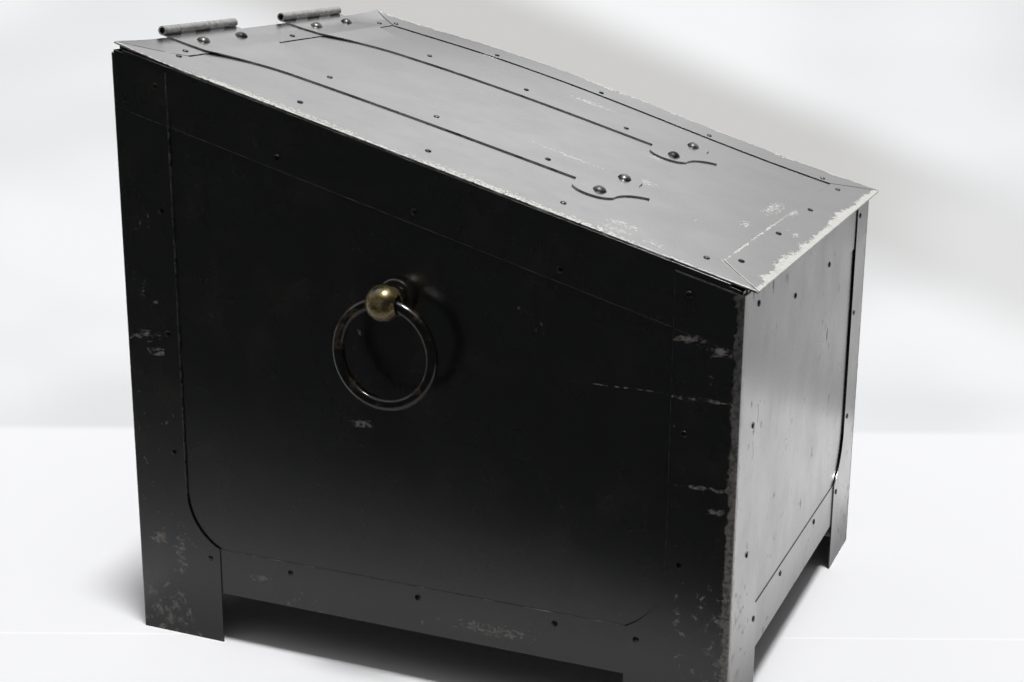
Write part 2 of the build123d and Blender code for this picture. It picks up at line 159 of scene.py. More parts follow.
# %% [markdown]
# ## Wear
# Enamel goes first where hands, shelves and neighbours rub it: along the lid's edges and down the
# corners. Each wear map is a distance to such an edge, set against noise, so that its border is
# ragged. First come the maps that walls and lid share: thin lines, rubbed marks, chips, scratches.
# %% Lines, marks and chips
def near_zero(tree, value, half_width):
    """1 where a distance is under the half width, with a border that is sharp but not stepped."""
    return add(tree, SOFT_STEP, value, half_width + 0.3 * MM, half_width - 0.3 * MM)


def on_line(tree, value, at_mm, half_mm):
    """A thin line where a coordinate has the given value."""
    off = add(tree, "Math.ABSOLUTE", add(tree, "Math.SUBTRACT", value, at_mm * MM))
    return near_zero(tree, off, half_mm * MM)


def worn_marks(tree, across, up, ragged, marks):
    """Ragged ovals on a face, each given by its middle and half sizes in millimetres."""
    border = add(tree, "Math.MULTIPLY_ADD", ragged, 9.0, -4.4)
    total = 0.0
    for middle_u, middle_v, half_u, half_v in marks:
        u = add(tree, "Math.DIVIDE", add(tree, "Math.SUBTRACT", across, middle_u * MM), half_u * MM)
        v = add(tree, "Math.DIVIDE", add(tree, "Math.SUBTRACT", up, middle_v * MM), half_v * MM)
        reach = add(tree, "Math.MULTIPLY_ADD", u, u, add(tree, "Math.MULTIPLY", v, v))
        oval = add(tree, SOFT_STEP, add(tree, "Math.SUBTRACT", border, reach), -0.25, 0.25)
        total = add(tree, "Math.MAXIMUM", total, oval)
    return total


def chips(tree, place, spacing_mm, amount):
    """Scattered chips and specks: the more, the higher the amount, a number or a map."""
    coarse = add(tree, "TexNoise", place, Scale=lumps(spacing_mm * 9), Detail=2.0)
    fine = add(
        tree, "TexNoise", place, Scale=lumps(spacing_mm), Detail=5.0, Roughness=0.7, Distortion=0.4
    )
    both = add(tree, "Math.MULTIPLY", fine, add(tree, "Math.ADD", coarse, 0.5))
    return add(tree, SOFT_STEP, add(tree, "Math.ADD", both, amount), 1.0, 1.06)


def scratches(tree, place, turn, amount):
    """Fine lines: noise stretched along one direction."""
    stretched = add(tree, "Mapping", place, Rotation=turn, Scale=(1.0, 0.035, 0.035))
    lines = add(tree, "TexNoise", stretched, Scale=lumps(1.5), Detail=2.0)
    gate = add(tree, "TexNoise", place, Scale=lumps(60.0), Detail=2.0)
    gate = add(tree, SOFT_STEP, gate, 0.5, 0.62)
    lines = add(tree, SOFT_STEP, lines, 1.0 - amount, 1.06 - amount)
    return add(tree, "Math.MULTIPLY", lines, gate)


print("maps shared by walls and lid: lines, marks, chips, scratches")

# %% [markdown]
# The corner posts are worn in strips, wide at the front and thin at the back, and chips crowd the
# feet. The left wall has its own knocks: each is a ragged oval at its place, in millimetres. Thin
# pale lines along its post edges, rail foot and post top are partly rubbed iron and partly painted
# highlight.
# %% Wear on the walls
def from_mid_depth(tree, y):
    """Distance from the middle of the box, towards its front or its back."""
    return add(tree, "Math.ABSOLUTE", add(tree, "Math.SUBTRACT", y, MID_DEPTH * MM))


def corner_distance(tree, place):
    """Distance to the nearest upright corner of the box, along either of its faces."""
    x, y, _ = add(tree, "SeparateXYZ", place, out=None)
    side = add(tree, "Math.SUBTRACT", HALF_WIDTH * MM, add(tree, "Math.ABSOLUTE", x))
    end = add(tree, "Math.SUBTRACT", HALF_DEPTH * MM, from_mid_depth(tree, y))
    return add(tree, "Math.MAXIMUM", side, end)


def corner_wear(tree, place):
    """Bare strips down the four upright corners, wide at the front and thin at the back."""
    ragged = add(tree, "TexNoise", place, Scale=lumps(7.0), Detail=5.0, Roughness=0.75)
    frontness = add(tree, SOFT_STEP, add(tree, "SeparateXYZ", place, out=None)[1], 0.0, -0.15)
    reach = add(tree, "Math.MULTIPLY_ADD", frontness, 11.0 * MM, 2.5 * MM)
    bite = add(tree, "Math.MULTIPLY", add(tree, "Math.SUBTRACT", ragged, 0.14), reach)
    return near_zero(tree, add(tree, "Math.SUBTRACT", corner_distance(tree, place), bite), 0.0)


# middle and half sizes, in y and z: knocks on the corner posts and a smear along the foot
LEFT_WALL_MARKS = [
    (-186, 265, 11, 3), (-205, 259, 12, 4), (-196, 228, 22, 2.0), (-198, 172, 21, 1.6),
    (-208, 158, 7, 2.4), (206, 223, 13, 4.5), (196, 212, 9, 3.5), (204, 72, 9, 7), (185, 62, 4, 26),
    (-60, 50, 34, 5), (37, 180.5, 12, 3), (-136, 229, 42, 0.6), (120, 55, 12, 3),
]
POST_EDGE = -176.0            # the front post's inner edge on the side wall, in y
BACK_POST_EDGE = 178.2
RAIL_FOOT = -35.6             # the top rail's lower edge, from the line of the post tops


def above_post_tops(tree, y, z):
    """Height above the sloping line of the post tops. The rails stand above it and stay black."""
    slope = (BACK_TOP - FRONT_TOP) / (BACK - FRONT)
    rise = add(tree, "Math.MULTIPLY", add(tree, "Math.SUBTRACT", y, FRONT * MM), slope)
    return add(tree, "Math.SUBTRACT", add(tree, "Math.SUBTRACT", z, FRONT_TOP * MM), rise)


def rubbed_and_highlight_lines(tree, place):
    """Thin pale lines on the side wall, along the posts' inner edges, the top rail's foot and the
    front post's top: partly rubbed iron, partly painted highlights where these edges catch the
    light.
    """
    _, y, z = add(tree, "SeparateXYZ", place, out=None)
    above = above_post_tops(tree, y, z)
    broken = add(tree, "TexNoise", place, Scale=lumps(6.0), Detail=4.0)
    broken = add(tree, "Math.MULTIPLY_ADD", broken, 1.6, -0.35)
    upper = add(tree, SOFT_STEP, z, 0.108, 0.112)
    at_front = on_line(tree, y, POST_EDGE, 0.2)
    # the back post's line is painted paler: painted light over the shaded gap at its edge
    at_back = on_line(tree, y, BACK_POST_EDGE, 0.4)
    foot = on_line(tree, above, RAIL_FOOT, 0.2)
    line = add(tree, "Math.MULTIPLY", at_front, add(tree, "Math.MULTIPLY", upper, 0.55))
    at_back = add(tree, "Math.MULTIPLY", at_back, add(tree, "Math.MULTIPLY", upper, 0.5))
    line = add(tree, "Math.MAXIMUM", line, at_back)
    line = add(tree, "Math.MAXIMUM", line, add(tree, "Math.MULTIPLY", foot, 0.45))
    post_top = add(tree, SOFT_STEP, above, -0.9 * MM, -0.6 * MM)
    post_top = add(tree, "Math.MULTIPLY", post_top, add(tree, SOFT_STEP, y, -0.175, -0.177))
    return add(tree, "Math.MULTIPLY", add(tree, "Math.MAXIMUM", line, post_top), broken)


def wall_marks(tree, place):
    """The knocks of the left wall, and of no other, with its thin lines of rubbed iron and painted
    highlight.
    """
    x, y, z = add(tree, "SeparateXYZ", place, out=None)
    squeezed = add(tree, "Mapping", place, Scale=(1.0, 0.45, 1.0))
    ragged = add(tree, "TexNoise", squeezed, Scale=lumps(2.6), Detail=5.0, Roughness=0.75)
    marks = worn_marks(tree, y, z, ragged, LEFT_WALL_MARKS)
    marks = add(tree, "Math.MAXIMUM", marks, rubbed_and_highlight_lines(tree, place))
    return add(tree, "Math.MULTIPLY", marks, add(tree, SOFT_STEP, x, -0.15, -0.16))


def wall_wear(tree, place):
    """Worn corners, chips that crowd the feet and the posts, and the marks of the left wall, some
    of which are painted highlights.
    """
    _, y, z = add(tree, "SeparateXYZ", place, out=None)
    on_posts = add(tree, SOFT_STEP, above_post_tops(tree, y, z), 0.3 * MM, 0.1 * MM)
    low_down = add(tree, SOFT_STEP, z, 0.12, 0.01)
    at_post = add(tree, SOFT_STEP, corner_distance(tree, place), 0.06, 0.03)
    crowd = add(tree, "Math.MULTIPLY_ADD", low_down, 0.15, 0.21)
    crowd = add(tree, "Math.MULTIPLY_ADD", at_post, 0.11, crowd)
    specks = add(tree, "Math.MULTIPLY", chips(tree, place, 7.0, crowd), 0.7)
    marks = add(tree, "Math.MULTIPLY", wall_marks(tree, place), on_posts)
    worn = add(tree, "Math.MAXIMUM", add(tree, "Math.MULTIPLY", marks, 0.8), specks)
    # the corners are only rubbed thin at the top and worn bare further down
    thinness = add(tree, "Math.MULTIPLY_ADD", add(tree, SOFT_STEP, z, 0.28, 0.12), 0.4, 0.3)
    corners = add(tree, "Math.MULTIPLY", corner_wear(tree, place), thinness)
    bare = add(tree, "Math.MAXIMUM", add(tree, "Math.MULTIPLY", corners, on_posts), worn)
    # no rubbed place is evenly bare
    patchy = add(tree, "TexNoise", place, Scale=lumps(2.6), Detail=4.0)
    patchy = add(tree, SOFT_STEP, patchy, 0.38, 0.58)
    patchy = add(tree, "Math.MULTIPLY_ADD", patchy, 0.75, 0.25)
    return add(tree, "Math.MINIMUM", add(tree, "Math.MULTIPLY", bare, patchy), 1.0)


print("wear on the walls: corners, chips, edge lines and", len(LEFT_WALL_MARKS), "marks")

# %% [markdown]
# The lid lies on a slope, so its map first turns the coordinates flat. Only the upper faces wear,
# and these are marked on the mesh when the lid is bent: the underside and the thin edges of the
# sheet stay black, which draws a dark line under each bright one.
# %% Wear on the lid
def lid_place(tree):
    """Coordinates on the lid: x across, y up the slope from the front posts, z off the slope."""
    origin = Matrix.Rotation(-SLOPE, 4, "X") @ LID_ORIGIN
    return place_of(tree, location=-origin, rotation=(-SLOPE, 0, 0))


def thinning_out(tree, ragged, distance, reach, rim):
    """Bare metal at a distance of 0 that breaks up into specks and ends at the reach."""
    limit = add(tree, "Math.DIVIDE", distance, reach)
    limit = add(tree, "Math.MULTIPLY_ADD", limit, 0.66 - rim, rim)
    specks = add(tree, SOFT_STEP, add(tree, "Math.SUBTRACT", ragged, limit), -0.015, 0.015)
    return add(tree, "Math.MULTIPLY", specks, add(tree, SOFT_STEP, distance, 14.0 * MM, 13.0 * MM))


def lid_edge_wear(tree, place):
    """Bare metal along the lid's outer edges: patchy at the sides, broad at the front."""
    x, s, _ = add(tree, "SeparateXYZ", place, out=None)
    near = add(tree, "Math.ADD", x, LID_HALF_WIDTH * MM)
    far = add(tree, "Math.SUBTRACT", LID_HALF_WIDTH * MM, x)
    front = add(tree, "Math.SUBTRACT", s, LID_FRONT * MM)
    ragged = add(tree, "TexNoise", place, Scale=lumps(3.4), Detail=5.0, Roughness=0.75)
    patchy = add(tree, "TexNoise", place, Scale=lumps(42.0), Detail=3.0)
    patchy = add(tree, SOFT_STEP, patchy, 0.42, 0.62)
    side_reach = add(tree, "Math.MULTIPLY_ADD", patchy, 9.0 * MM, 2.2 * MM)
    sides = thinning_out(tree, ragged, add(tree, "Math.MINIMUM", near, far), side_reach, 0.42)
    middle = add(tree, SOFT_STEP, add(tree, "Math.ABSOLUTE", x), 0.19, 0.06)
    front_reach = add(tree, "Math.MULTIPLY_ADD", patchy, 5.0 * MM, 4.0 * MM)
    front_reach = add(tree, "Math.MULTIPLY_ADD", middle, 3.0 * MM, front_reach)
    ends = thinning_out(tree, ragged, front, front_reach, 0.18)
    return add(tree, "Math.MAXIMUM", sides, ends)


def seam_wear(tree, place):
    """Bare lines on both sides of the mitre seam and along the front binding's inner edge."""
    x, s, _ = add(tree, "SeparateXYZ", place, out=None)
    ragged = add(tree, "TexNoise", place, Scale=lumps(8.0), Detail=4.0, Roughness=0.7)
    inner_edge = (LID_FRONT + FRONT_BINDING - 0.5) * MM
    seam = add(tree, "Math.ABSOLUTE", add(tree, "Math.SUBTRACT", s, inner_edge))
    seam_bite = add(tree, "Math.MULTIPLY", add(tree, "Math.SUBTRACT", ragged, 0.42), 8.0 * MM)
    seam_line = near_zero(tree, add(tree, "Math.SUBTRACT", seam, seam_bite), 0.0)
    stretch = add(tree, SOFT_STEP, x, 0.05, -0.04)
    stretch = add(tree, "Math.MULTIPLY", stretch, add(tree, SOFT_STEP, x, -0.152, -0.151))
    seam_line = add(tree, "Math.MULTIPLY", seam_line, stretch)
    # the mitre runs from the lid's corner to the inner corner of the two bindings
    along = add(tree, "Math.ADD", x, LID_HALF_WIDTH * MM)
    up = add(tree, "Math.SUBTRACT", s, LID_FRONT * MM)
    length = hypot(BINDING, FRONT_BINDING)
    across = add(tree, "Math.MULTIPLY", along, FRONT_BINDING / length)
    across = add(tree, "Math.SUBTRACT", across, add(tree, "Math.MULTIPLY", up, BINDING / length))
    # two lines that part towards the inner corner
    parting = add(tree, "Math.MULTIPLY_ADD", along, 0.02, 0.45 * MM)
    mitre = add(tree, "Math.SUBTRACT", add(tree, "Math.ABSOLUTE", across), parting)
    mitre = add(tree, "Math.ABSOLUTE", mitre)
    mitre_bite = add(tree, "Math.MULTIPLY_ADD", ragged, 1.3 * MM, -0.2 * MM)
    mitre_line = near_zero(tree, add(tree, "Math.SUBTRACT", mitre, mitre_bite), 0.0)
    corner = add(tree, SOFT_STEP, along, 36.0 * MM, 34.0 * MM)
    mitre_line = add(tree, "Math.MULTIPLY", mitre_line, corner)
    return add(tree, "Math.MAXIMUM", seam_line, mitre_line)


# middle and half sizes, in x and s: scuffs and dabs of pale paint
LID_MARKS = [
    (-73, 408, 9, 3), (-64, 396, 8, 1.6), (150, 330, 5, 9), (-52, 40, 12, 4), (15, 38, 26, 6),
    (-35, 9, 8, 3), (20, 24, 14, 4), (-155, 91, 8, 14), (-172, 92, 7, 12), (-172, 65, 6, 9),
    (-41, 117, 8, 9), (-49, 175, 3.5, 30), (118, 222, 6, 22), (33, 135, 6, 6),
    (-183, 370, 5, 25), (-182, 312, 7, 40), (-182, 187, 7, 55),
]


def lid_wear(tree, place):
    """All the wear of the lid's upper faces."""
    x, s, _ = add(tree, "SeparateXYZ", place, out=None)
    upper = add(tree, "Attribute", attribute_name="upper_face", out="Fac")
    ragged = add(tree, "TexNoise", place, Scale=lumps(2.6), Detail=5.0, Roughness=0.75)
    marks = worn_marks(tree, x, s, ragged, LID_MARKS)
    specks = chips(tree, place, 4.0, 0.25)
    marks = add(tree, "Math.MULTIPLY", add(tree, "Math.MAXIMUM", marks, specks), 0.9)
    patchy = add(tree, "TexNoise", place, Scale=lumps(1.6), Detail=3.0)
    patchy = add(tree, "Math.MULTIPLY_ADD", patchy, 0.7, 0.6)
    bare = add(tree, "Math.MAXIMUM", lid_edge_wear(tree, place), seam_wear(tree, place))
    bare = add(tree, "Math.MULTIPLY", add(tree, "Math.MAXIMUM", bare, marks), patchy)
    return add(tree, "Math.MINIMUM", add(tree, "Math.MULTIPLY", bare, upper), 1.0)


def knuckle_wear(tree, place):
    """Rolled hinge knuckles, rubbed bright all round by the lid's opening and shutting."""
    _, s, h = add(tree, "SeparateXYZ", place, out=None)
    ds = add(tree, "Math.SUBTRACT", s, HINGE_ALONG * MM)
    dh = add(tree, "Math.SUBTRACT", h, HINGE_OFF * MM)
    squares = add(tree, "Math.MULTIPLY_ADD", ds, ds, add(tree, "Math.MULTIPLY", dh, dh))
    away = add(tree, "Math.SQRT", squares)
    ragged = add(tree, "TexNoise", place, Scale=lumps(5.0), Detail=4.0, Roughness=0.6)
    rubbed = add(tree, "Math.MULTIPLY_ADD", add(tree, SOFT_STEP, ragged, 0.3, 0.7), 0.35, 0.2)
    return add(tree, "Math.MULTIPLY", add(tree, SOFT_STEP, away, 3.8 * MM, 3.4 * MM), rubbed)


def no_wear(tree, place):
    """A face that nothing rubs."""
    return add(tree, "Math.MULTIPLY", 0.0, 0.0)


print("wear on the lid: outer edges, front seam, mitre,", len(LID_MARKS), "marks, knuckles")

# %% [markdown]
# ## Black stove enamel
# The sheet iron was dipped or brushed in black japan and baked, which leaves a thin, hard, glossy
# coat that is nearly black inside and mirrors its surroundings at a low angle. A clear coat over a
# dark, slightly rougher base gives that double gloss. These maps say where the coat has gone and
# how dull it is where it stayed.
# %% Maps of the enamel
def at_end_wall(tree, place):
    """1 on the front and back walls, within 6 mm of the posts' faces."""
    y = add(tree, "SeparateXYZ", place, out=1)
    depth = add(tree, "Math.SUBTRACT", HALF_DEPTH * MM, from_mid_depth(tree, y))
    return add(tree, SOFT_STEP, depth, 6.0 * MM, 4.0 * MM)


def worn_through(tree, place, wear_map, scratch_amount, edge_amount):
    """Where the iron shows: a piece's own wear, fine scratches and its rounded edges."""
    bare = wear_map(tree, place)
    lines = scratches(tree, place, (0.3, 0.2, 0.9), scratch_amount)
    bare = add(tree, "Math.MAXIMUM", bare, add(tree, "Math.MULTIPLY", lines, 0.4))
    # the rounded edges of the sheet, marked on the mesh, are rubbed through here and there; on the
    # straps the marked cut sides get the same pale iron, partly as painted light on sides in shade
    edge = add(tree, "Attribute", attribute_name="rubbed_and_lit_edge", out="Fac")
    patches = add(tree, "TexNoise", place, Scale=lumps(12.0), Detail=3.0)
    rubbed = add(tree, SOFT_STEP, patches, 0.62 - edge_amount * 0.3, 0.7)
    return add(tree, "Math.MAXIMUM", bare, add(tree, "Math.MULTIPLY", edge, rubbed))


def dull_ticks(tree, place, end_wall):
    """Short slanting ticks where the coat of the front and back walls has gone dull."""
    slanted = add(tree, "Mapping", place, Rotation=(0, 0.5, 0), Scale=(1.0, 1.0, 0.5))
    ticks = add(tree, "TexNoise", slanted, Scale=lumps(5.0), Detail=4.0, Distortion=0.5)
    ticks = add(tree, SOFT_STEP, ticks, 0.63, 0.67)
    rare = add(tree, "TexNoise", place, Scale=lumps(30.0), Detail=2.0)
    rare = add(tree, SOFT_STEP, rare, 0.52, 0.6)
    return add(tree, "Math.MULTIPLY", add(tree, "Math.MULTIPLY", ticks, rare), end_wall)


def base_gloss(tree, place, end_wall):
    """Roughness under the clear coat: smeared, with broad runs down the front and back walls."""
    smear = add(tree, "TexNoise", place, Scale=lumps(45.0), Detail=5.0, Roughness=0.6)
    smear = add(tree, SOFT_STEP, smear, 0.3, 0.7)
    hanging = add(tree, "Mapping", place, Scale=(1.0, 1.0, 0.45))
    runs = add(
        tree, "TexNoise", hanging, Scale=lumps(30.0), Detail=3.0, Roughness=0.5, Distortion=0.6
    )
    runs = add(tree, "Math.MULTIPLY", add(tree, SOFT_STEP, runs, 0.35, 0.65), end_wall)
    gloss = add(tree, "Math.MULTIPLY_ADD", smear, 0.1, 0.2)
    return add(tree, "Math.MULTIPLY_ADD", runs, 0.05, gloss)


print("maps of the enamel: bare places, ticks, runs")

# %% [markdown]
# One function makes the enamel of every piece. Under the coat lie a black with faint brown stains
# and, where it is worn through, iron that is only half metallic, as iron under a thin bloom of
# rust looks: pale and dull, with no coat over it. The pieces differ in wear, iron and scratches.
# %% Enamel
ENAMEL_BLACK = linear("0b0d0e")
ENAMEL_BROWN = linear("1d1712")
RUST = linear("8a5a3c")


def enamel(name, wear_map, on_lid, scratch_amount, iron_hex, rust, edge_amount=0.5, streaks=0.0):
    """Black stove enamel on sheet iron. To the eye: a soft, wavy mirror with pale worn edges."""
    material = bpy.data.materials.new(name)
    tree = fresh_tree(material)
    place = lid_place(tree) if on_lid else place_of(tree)
    bare = worn_through(tree, place, wear_map, scratch_amount, edge_amount)
    whole = add(tree, "Math.SUBTRACT", 1.0, bare)
    end_wall = add(tree, "Math.MULTIPLY", at_end_wall(tree, place), streaks)
    dull = dull_ticks(tree, place, end_wall)
    gloss = add(tree, "Mix", {0: dull, 2: base_gloss(tree, place, end_wall), 3: 0.5})
    stained = add(tree, "TexNoise", place, Scale=lumps(28.0), Detail=3.0)
    stained = add(tree, SOFT_STEP, stained, 0.52, 0.7)
    stained = add(tree, "Math.MULTIPLY", stained, 0.5)
    black = add(tree, "Mix.RGBA", {0: stained, 6: ENAMEL_BLACK, 7: ENAMEL_BROWN}, out=2)
    rusty = add(tree, "TexNoise", place, Scale=lumps(14.0), Detail=3.0)
    rusty = add(tree, SOFT_STEP, rusty, 0.58, 0.78)
    rusty = add(tree, "Math.MULTIPLY", rusty, rust)
    iron = add(tree, "Mix.RGBA", {0: rusty, 6: linear(iron_hex), 7: RUST}, out=2)
    # old sheet is never quite flat: waves of about 130 mm bend what it mirrors
    height = add(tree, "TexNoise", place, Scale=lumps(130.0), Detail=1.0)
    height = add(tree, "Math.MULTIPLY", height, 0.25 * MM)
    # brush marks and dust in the coat, drawn at 3 mm so that they show
    dust = add(tree, "TexNoise", place, Scale=lumps(3.0), Detail=3.0)
    height = add(tree, "Math.MULTIPLY_ADD", dust, 0.003 * MM, height)
    relief = add(tree, "Bump", Strength=1.0, Distance=1.0, Height=height)
    surface = add(
        tree, "BsdfPrincipled", IOR=1.55, Coat_Roughness=0.22, Coat_IOR=1.7,
        Base_Color=add(tree, "Mix.RGBA", {0: bare, 6: black, 7: iron}, out=2),
        Metallic=add(tree, "Math.MULTIPLY", bare, 0.5),
        Roughness=add(tree, "Mix", {0: bare, 2: gloss, 3: 0.62}),
        Coat_Weight=add(tree, "Math.MULTIPLY", whole, add(tree, "Mix", {0: dull, 2: 1.0, 3: 0.4})),
        Normal=relief, Coat_Normal=relief,
    )
    add(tree, "OutputMaterial", surface, out=None)
    return material


sheet_enamel = enamel("stove_enamel_sheet", wall_wear, False, 0.2, "7f7b76", 0.3, streaks=1.0)
lid_enamel = enamel("stove_enamel_lid", lid_wear, True, 0.2, "dad9d4", 0.2)
# the straps' pale iron and wide edge wear are partly painted light: they lighten the cut sides,
# which face the dark room
strap_enamel = enamel("stove_enamel_strap", knuckle_wear, True, 0.14, "dad9d4", 0.2, 1.7)
inside_enamel = enamel("stove_enamel_inside", no_wear, False, 0.1, "7f7b76", 0.5, streaks=1.0)
print("enamels:", sheet_enamel.name, lid_enamel.name, strap_enamel.name, inside_enamel.name)

# %% [markdown]
# The small tinner's rivets went on before the enamel, so they are black too, with patches of paler
# iron. The large domed rivets were burnished when they were closed, and show dark bright iron. The
# pins and washers are plain steel.
# %% Rivets, pins and washers
def burnished(name, dark, light, low, high, grain_mm):
    """A dark rubbed metal. To the eye: bright highlights broken by stains and small pits."""
    material = bpy.data.materials.new(name)
    tree = fresh_tree(material)
    place = place_of(tree)
    blotch = add(tree, "TexNoise", place, Scale=lumps(grain_mm * 4), Detail=4.0, Roughness=0.6)
    pits = add(tree, "TexNoise", place, Scale=lumps(grain_mm), Detail=2.0)
    mask = add(tree, SOFT_STEP, blotch, 0.38, 0.62)
    depth = add(tree, "Math.MULTIPLY", pits, 0.03 * MM)
    surface = add(
        tree, "BsdfPrincipled", Metallic=1.0,
        Base_Color=add(tree, "Mix.RGBA", {0: mask, 6: linear(dark), 7: linear(light)}, out=2),
        Roughness=add(tree, "Mix", {0: mask, 2: high, 3: low}),
        Normal=add(tree, "Bump", Strength=1.0, Distance=1.0, Height=depth),
    )
    add(tree, "OutputMaterial", surface, out=None)
    return material


small_rivet_iron = burnished("enamelled_tinners_rivet", "17171a", "5c5a58", 0.28, 0.42, 1.2)
large_rivet_iron = burnished("burnished_iron_rivet", "29292b", "787673", 0.34, 0.46, 3.0)
pin_steel = burnished("rubbed_steel_pin", "1e1e1e", "4c4a48", 0.3, 0.45, 2.0)
print("metals:", small_rivet_iron.name, large_rivet_iron.name, pin_steel.name)

# %% [markdown]
# ## Brass and lacquer
# The bosses are cast brass whose black lacquer has worn to gold-brown where the ring rubs. The
# rings are brass or iron rod, still black-lacquered, with the metal showing through in places.
# %% Boss and ring
def worn_lacquer(name, metal, lacquer, worn_from, worn_to, grain_mm, coat_roughness, clear_of=0.0):
    """Lacquered brass. To the eye: black gloss that gives way to dull gold in soft patches."""
    material = bpy.data.materials.new(name)
    tree = fresh_tree(material)
    place = place_of(tree)
    patches = add(tree, "TexNoise", place, Scale=lumps(grain_mm), Detail=4.0, Roughness=0.6)
    fine = add(tree, "TexNoise", place, Scale=lumps(1.5), Detail=2.0)
    worn = add(tree, "Math.MULTIPLY_ADD", fine, 0.12, patches)
    worn = add(tree, SOFT_STEP, worn, worn_from, worn_to)
    # the lacquer has stayed on near the wall, where no hand comes
    out_from_middle = add(tree, "Math.ABSOLUTE", add(tree, "SeparateXYZ", place, out=None)[0])
    in_reach = add(tree, SOFT_STEP, out_from_middle, clear_of - 1.5 * MM, clear_of + 1.5 * MM)
    worn = add(tree, "Math.MULTIPLY", worn, in_reach)
    depth = add(tree, "Math.MULTIPLY", fine, 0.02 * MM)
    surface = add(
        tree, "BsdfPrincipled", Metallic=worn, IOR=1.5,
        Base_Color=add(tree, "Mix.RGBA", {0: worn, 6: linear(lacquer), 7: linear(metal)}, out=2),
        Roughness=add(tree, "Mix", {0: worn, 2: 0.2, 3: 0.3}),
        Coat_Weight=0.6, Coat_Roughness=coat_roughness, Coat_IOR=1.5,
        Normal=add(tree, "Bump", Strength=1.0, Distance=1.0, Height=depth),
    )
    add(tree, "OutputMaterial", surface, out=None)
    return material


boss_brass = worn_lacquer("worn_brass_boss", "8f7f58", "16130e", 0.4, 0.66, 14.0, 0.25, 0.1985)
ring_lacquer = worn_lacquer("black_lacquered_ring", "57493a", "0c0b0a", 0.6, 0.76, 9.0, 0.08)
print("handle finishes:", boss_brass.name, ring_lacquer.name)

# %% [markdown]
# ## Sheet metal with soft edges
# No cut edge of enamelled sheet is sharp: the coat rounds it, and that round edge is what catches
# the light. A copy of each CAD sheet is merged, its flat triangles are joined, and its long sharp
# edges get a small bevel. A Weighted Normal modifier keeps the flat faces flat.
# %% Finish a sheet
SHORTEST_ROUNDED = 3.0      # in millimetres; the facets of a curve are shorter and stay sharp


def merged_copy(node):
    """A CAD node's mesh with its loose triangles merged and its flat ones joined."""
    shape = bmesh.new()
    shape.from_mesh(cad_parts[node].data)
    bmesh.ops.remove_doubles(shape, verts=shape.verts, dist=0.000005)
    everything = {"verts": shape.verts, "edges": shape.edges}
    bmesh.ops.dissolve_limit(shape, angle_limit=radians(0.4), **everything)
    return shape


def soften(shape, width_mm, rubbed_and_lit_sides):
    """A small round on every sharp edge that is longer than 3 mm, marked as worn; when a share is
    given, cut sides across the lid's slope are marked too, for pale iron that is partly painted
    light.
    """
    sharp = [
        edge for edge in shape.edges
        if len(edge.link_faces) == 2
        and edge.calc_face_angle() > radians(40)
        and edge.calc_length() > SHORTEST_ROUNDED * MM
    ]
    worn = shape.faces.layers.float.new("rubbed_and_lit_edge")
    rounded = bmesh.ops.bevel(
        shape, geom=sharp, offset=width_mm * MM, offset_type="OFFSET", affect="EDGES",
        segments=2, profile=0.5, material=-1, clamp_overlap=True,
    )
    for face in rounded["faces"]:
        face[worn] = 1.0
    for face in shape.faces:
        if rubbed_and_lit_sides and face[worn] < 1 and abs(face.normal.dot(LID_UP)) < 0.3:
            face[worn] = rubbed_and_lit_sides
    return len(sharp)


def add_piece(name, shape, material, body, nodes):
    """Makes an object of a bmesh, smooth-shaded, and ties it to its body, nodes and slot."""
    mesh = bpy.data.meshes.new(name)
    shape.to_mesh(mesh)
    shape.free()
    mesh.materials.append(material)
    mesh.shade_smooth()
    mesh.set_sharp_from_angle(angle=radians(38))
    piece = bpy.data.objects.new(name, mesh)
    bpy.context.scene.collection.objects.link(piece)
    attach(piece, body)
    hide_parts(*nodes)
    return piece


def keep_flat(piece):
    """Weighted normals: large faces decide how an edge is shaded."""
    modifier = piece.modifiers.new("flat faces", "WEIGHTED_NORMAL")
    modifier.keep_sharp = True
    modifier.weight = 80


def finish_sheet(node, material, body, width_mm=0.3, rubbed_and_lit_sides=0.0):
    """A visual copy of a CAD sheet with softened edges."""
    shape = merged_copy(node)
    count = soften(shape, width_mm, rubbed_and_lit_sides)
    if body == "lid":
        mark_upper_faces(shape)
        cut_by_planes(shape)
        bow(shape)
    piece = add_piece(node + "_enamelled", shape, material, body, [node])
    keep_flat(piece)
    print(piece.name, "edges softened:", count, "faces:", len(piece.data.polygons))


# %% [markdown]
# The lid of this old box has bowed: its right edge arches a few millimetres off the box, and its
# two back corners are bent up a little. Each lid piece is cut into small fields by planes, and
# every vertex is then lifted by the same rule, so that sheet, bindings and rivets stay together.
# %% Bow of the lid
BOW = 6.1                     # rise of the right edge at its highest, in millimetres
CORNER_RISE = 2.2


def ease(t):
    """0 to 1 with a soft start and end."""
    t = min(max(t, 0.0), 1.0)
    return t * t * (3 - 2 * t)


def lid_rise(x, s):
    """How far the lid has come up off the box, in millimetres, at a place on its slope."""
    along = ease((s - 50) / 230) * (1 - ease((s - 300) / 190)) * (1 - ease((s - 425) / 22))
    arch = BOW * along * (x + LID_HALF_WIDTH) / (2 * LID_HALF_WIDTH)
    from_corner = hypot(LID_HALF_WIDTH - abs(x), LID_BACK - s)
    return arch + CORNER_RISE * max(0.0, 1 - from_corner / 60) ** 2


def mark_upper_faces(shape):
    """Marks the faces that look up off the lid, the only ones that things rub."""
    upper = shape.faces.layers.float.new("upper_face")
    for face in shape.faces:
        face[upper] = 1.0 if face.normal.dot(LID_UP) > 0.5 else 0.0


